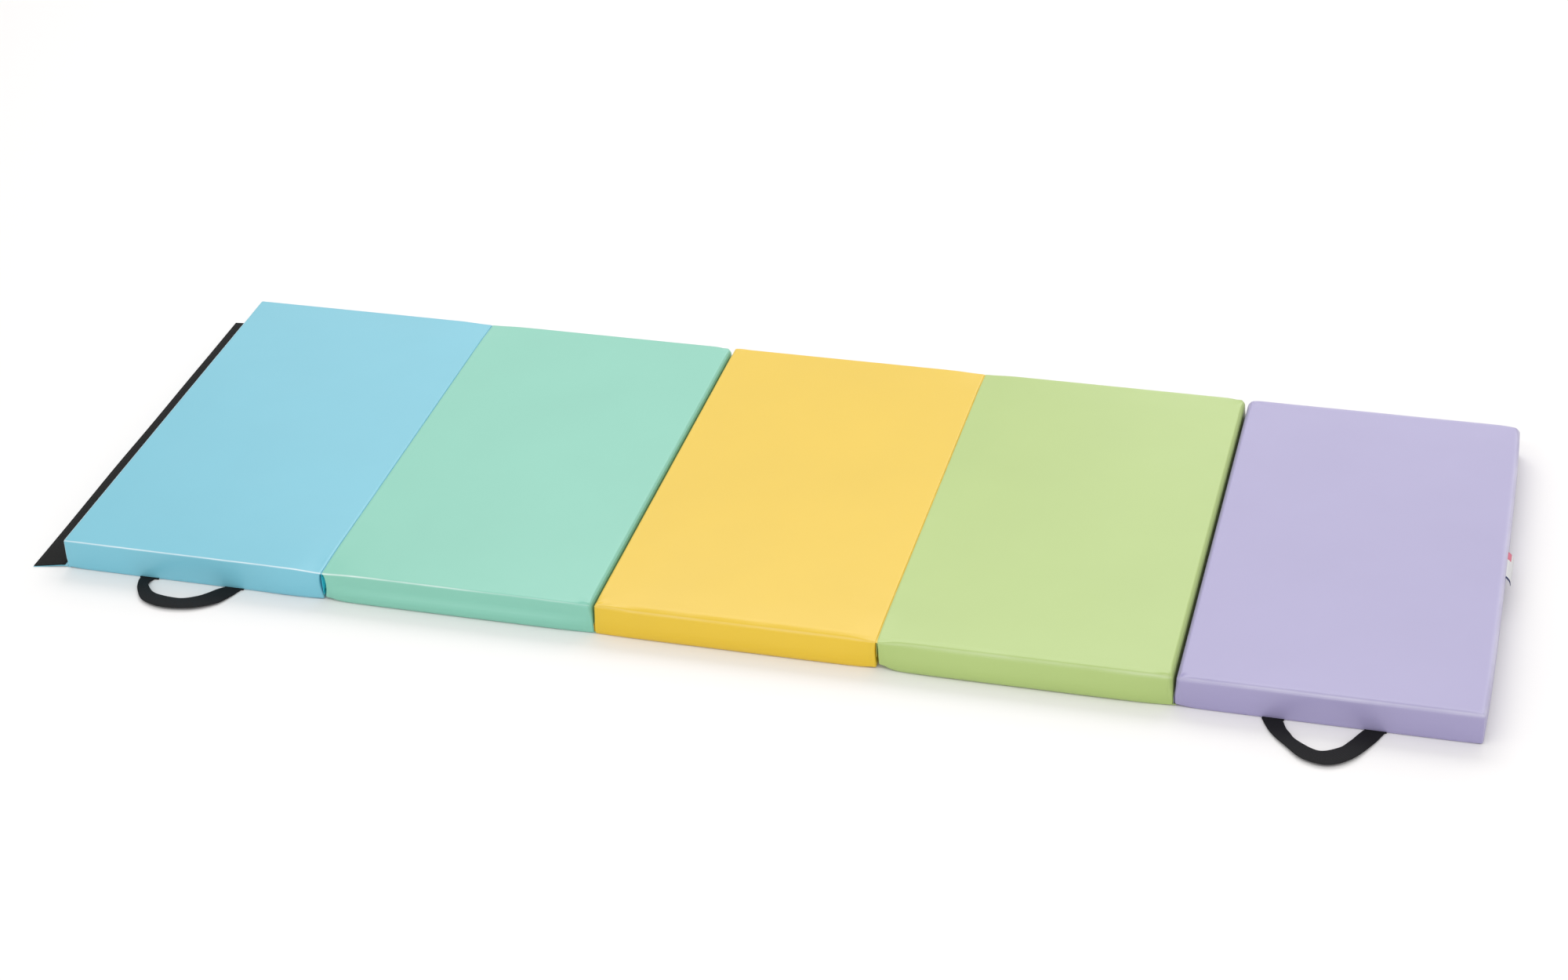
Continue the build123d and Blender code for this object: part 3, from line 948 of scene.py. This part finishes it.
def make_teeth(colour, centre):
    """Teeth that interlock from above and below, and a stop at each end."""
    teeth = []
    count = int(2 * (ZIP_X - 2 * MM) / TOOTH_PITCH)
    for k in range(count):
        x = centre + (k - (count - 1) / 2) * TOOTH_PITCH
        z = ZIP_Z + 0.9 * MM * (1 if k % 2 else -1)
        teeth.append(lozenge((x, SLOT_Y + 1.15 * MM, z), TOOTH_HALF, power=3.0))
    for end in (-1, 1):
        x = centre + end * (ZIP_X - 0.6 * MM)
        teeth.append(lozenge((x, SLOT_Y + 1.2 * MM, ZIP_Z), STOP_HALF, power=5.0))
    coil = gather(f"coil_{colour}", teeth, COIL)
    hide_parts(f"zip_chain_{colour}")
    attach(coil, f"panel_{colour}")


def make_zip_stitches(colour, centre):
    rows = []
    for z in (ZIP_Z - ZIP_STITCH, ZIP_Z + ZIP_STITCH):
        y = HALF_Y + 0.05 * MM
        rows += stitch_row((centre + ZIP_X, y, z), (centre - ZIP_X, y, z), (0, 1, 0))
    stitches = gather(f"zip_stitches_{colour}", rows, THREAD[colour])
    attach(stitches, f"panel_{colour}")


def make_slider(colour, mid_x, low_y):
    """A domed shield over the teeth, with a bridge for its pull."""
    mirrored = [(x, -z) for x, z in SLIDER_HALF[-2::-1]]
    outline = spline(SLIDER_HALF + mirrored, 40)[:-1]
    ring = len(outline)
    points, faces = [], []
    for height, size in SLIDER_RINGS:
        for x, z in outline:
            points.append((mid_x + x * size * MM, low_y + height * MM, ZIP_Z + z * size * MM))
    for r in range(len(SLIDER_RINGS) - 1):
        for k in range(ring):
            a, b = r * ring + k, r * ring + (k + 1) % ring
            faces.append((a, b, b + ring, a + ring))
    faces.append(tuple(range(ring))[::-1])
    shapes = [(np.array(points), faces)]
    for t in np.linspace(0, math.pi, 9):
        x = mid_x - 3.4 * MM * math.cos(t)
        y = low_y + 1.3 * MM + 2.0 * MM * max(math.sin(t), 0) ** 0.7
        shapes.append(lozenge((x, y, ZIP_Z), BRIDGE_HALF, power=4.0))
    slider = gather(f"slider_{colour}", shapes, SLIDER)
    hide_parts(f"zip_slider_{colour}")
    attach(slider, f"slider_{colour}")


def make_pull(colour, mid_x, low_y):
    """A flat tab, wider towards its foot, which hangs from the bridge."""
    zs = np.linspace(ZIP_Z + 2.2 * MM, ZIP_Z - 19 * MM, 16)[:, None]
    share = (zs[0] - zs) / (zs[0] - zs[-1])
    width = (1.6 + 1.5 * smooth(share * 1.4) - 0.5 * smooth((share - 0.85) / 0.15)) * MM
    y = low_y + 3.2 * MM - 1.6 * MM * smooth(share)
    pull = slab(
        f"pull_{colour}", grid_of(mid_x + width * np.linspace(-1, 1, 7), y, zs), 0.9 * MM, SLIDER
    )
    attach(pull, f"slider_{colour}")


for colour in COLOURS:
    make_tape(colour, CENTRE_X[colour])
    make_teeth(colour, CENTRE_X[colour])
    make_zip_stitches(colour, CENTRE_X[colour])
    slider_node = f"zip_slider_{colour}"
    slider_at = (box_middle(slider_node, 0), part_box(slider_node)[0][1])
    make_slider(colour, *slider_at)
    make_pull(colour, *slider_at)

# --- label in the right end's top seam -------------------------------------------------------
LABEL_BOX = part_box("label_tab")
# the label's fall from the seam: out from the end and down from the seam, in mm
LABEL_FALL = [(2, 0), (5, 0.6), (8, -2), (12, -7.5), (13.4, -13.5)]
profile = spline([(END_X + x * MM, HIGH_SEAM + z * MM) for x, z in LABEL_FALL], 22)
ys = np.linspace(LABEL_BOX[0][1], LABEL_BOX[1][1], 36)
curl = 0.8 * MM * np.sin(ys * 55) * np.linspace(0, 1, len(profile))[:, None]
grid = grid_of(profile[:, :1] + curl, ys, profile[:, 1:])
label = slab("label", grid, 0.8 * MM, LABEL, LABEL_PINK, LABEL_NAVY)
for face in label.data.polygons:
    # a navy edge, and a pink block instead of the printed mark
    y_share = (face.center[1] - ys[0]) / (ys[-1] - ys[0])
    out = (face.center[0] - END_X) / (13 * MM)
    if y_share < 0.06:
        face.material_index = 2
    elif y_share > 0.72 and 0.25 < out < 0.8:
        face.material_index = 1
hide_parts("label_tab")
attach(label, "panel_lilac")


# --- stage, light and camera -----------------------------------------------------------------
def white_floor():
    """A wide white floor that drops out of the way of any panel folded below it."""
    n = Nodes("floor_white")
    n.set(Base_Color=(0.858, 0.844, 0.837, 1), Roughness=0.85)
    bpy.ops.mesh.primitive_plane_add(size=40, location=(0, 0, 0))
    floor = bpy.context.object
    floor.name = "floor"
    floor.data.materials.append(n.material)
    for colour in COLOURS:
        for end in (-HALF_X, HALF_X):
            for height in (0.0, THICK):
                mark = bpy.data.objects.new(f"level_{colour}", None)
                bpy.context.scene.collection.objects.link(mark)
                mark.location = (CENTRE_X[colour] + end, 0, height)
                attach(mark, f"panel_{colour}")
                rule = floor.constraints.new("FLOOR")
                rule.target = mark
                rule.floor_location = "FLOOR_NEGATIVE_Z"


# name, place, where it points, width and height in metres, and power in watts
LIGHTS = (
    # a broad soft key from behind
    ("key", (-0.2, 2.6, 3.3), (0.1, 0, 0), (3.6, 1.6), 52),
    # a bright backdrop that the tops mirror, brighter low down on the right
    ("backdrop", (0.3, 5.2, 3.1), (0, 0, 0.3), (9.0, 2.6), 52),
    ("backdrop_right", (0.85, 5.0, 2.45), (0.8, 0, 0.3), (2.4, 1.5), 14),
    # a wide fill in front, and a strip above it that the front edges mirror
    ("front_fill", (0.4, -5.0, 1.3), (0.2, 0, 0), (6.0, 1.8), 50),
    ("strip", (0.2, -1.6, 2.45), (0.2, 0, 0), (4.6, 0.45), 20),
)
WORLD_STRENGTH = 0.80
CAMERA_AZIMUTH, CAMERA_ELEVATION, CAMERA_ROLL = (math.radians(d) for d in (16.62, 32.94, -2.86))
CAMERA_AT = (1.1409, -3.9114, 2.6807)
SENSOR_MM, FOCAL_MM = 36, 68.32


def softbox(name, location, target, size, power):
    data = bpy.data.lights.new(name, "AREA")
    data.shape = "RECTANGLE"
    data.size, data.size_y = size
    data.energy = power
    lamp = bpy.data.objects.new(name, data)
    bpy.context.scene.collection.objects.link(lamp)
    lamp.location = location
    aim = Vector(target) - Vector(location)
    lamp.rotation_euler = aim.to_track_quat("-Z", "Y").to_euler()


def soft_world():
    world = bpy.data.worlds.new("studio")
    bpy.context.scene.world = world
    world.use_nodes = True
    background = world.node_tree.nodes["Background"]
    background.inputs["Color"].default_value = (1, 1, 1, 1)
    background.inputs["Strength"].default_value = WORLD_STRENGTH


def camera():
    level = math.cos(CAMERA_ELEVATION)
    sideways, ahead = math.sin(CAMERA_AZIMUTH) * level, math.cos(CAMERA_AZIMUTH) * level
    back = Vector((sideways, -ahead, math.sin(CAMERA_ELEVATION)))
    right = Vector((0, 0, 1)).cross(back).normalized()
    up = back.cross(right)
    cosine, sine = math.cos(CAMERA_ROLL), math.sin(CAMERA_ROLL)
    data = bpy.data.cameras.new("camera")
    data.sensor_width = SENSOR_MM
    data.lens = FOCAL_MM
    made = bpy.data.objects.new("camera", data)
    bpy.context.scene.collection.objects.link(made)
    turn = Matrix((right * cosine + up * sine, up * cosine - right * sine, back))
    made.matrix_world = Matrix.Translation(CAMERA_AT) @ turn.transposed().to_4x4()
    bpy.context.scene.camera = made


white_floor()
soft_world()
for light in LIGHTS:
    softbox(*light)
camera()
bpy.context.scene.view_settings.view_transform = "Standard"
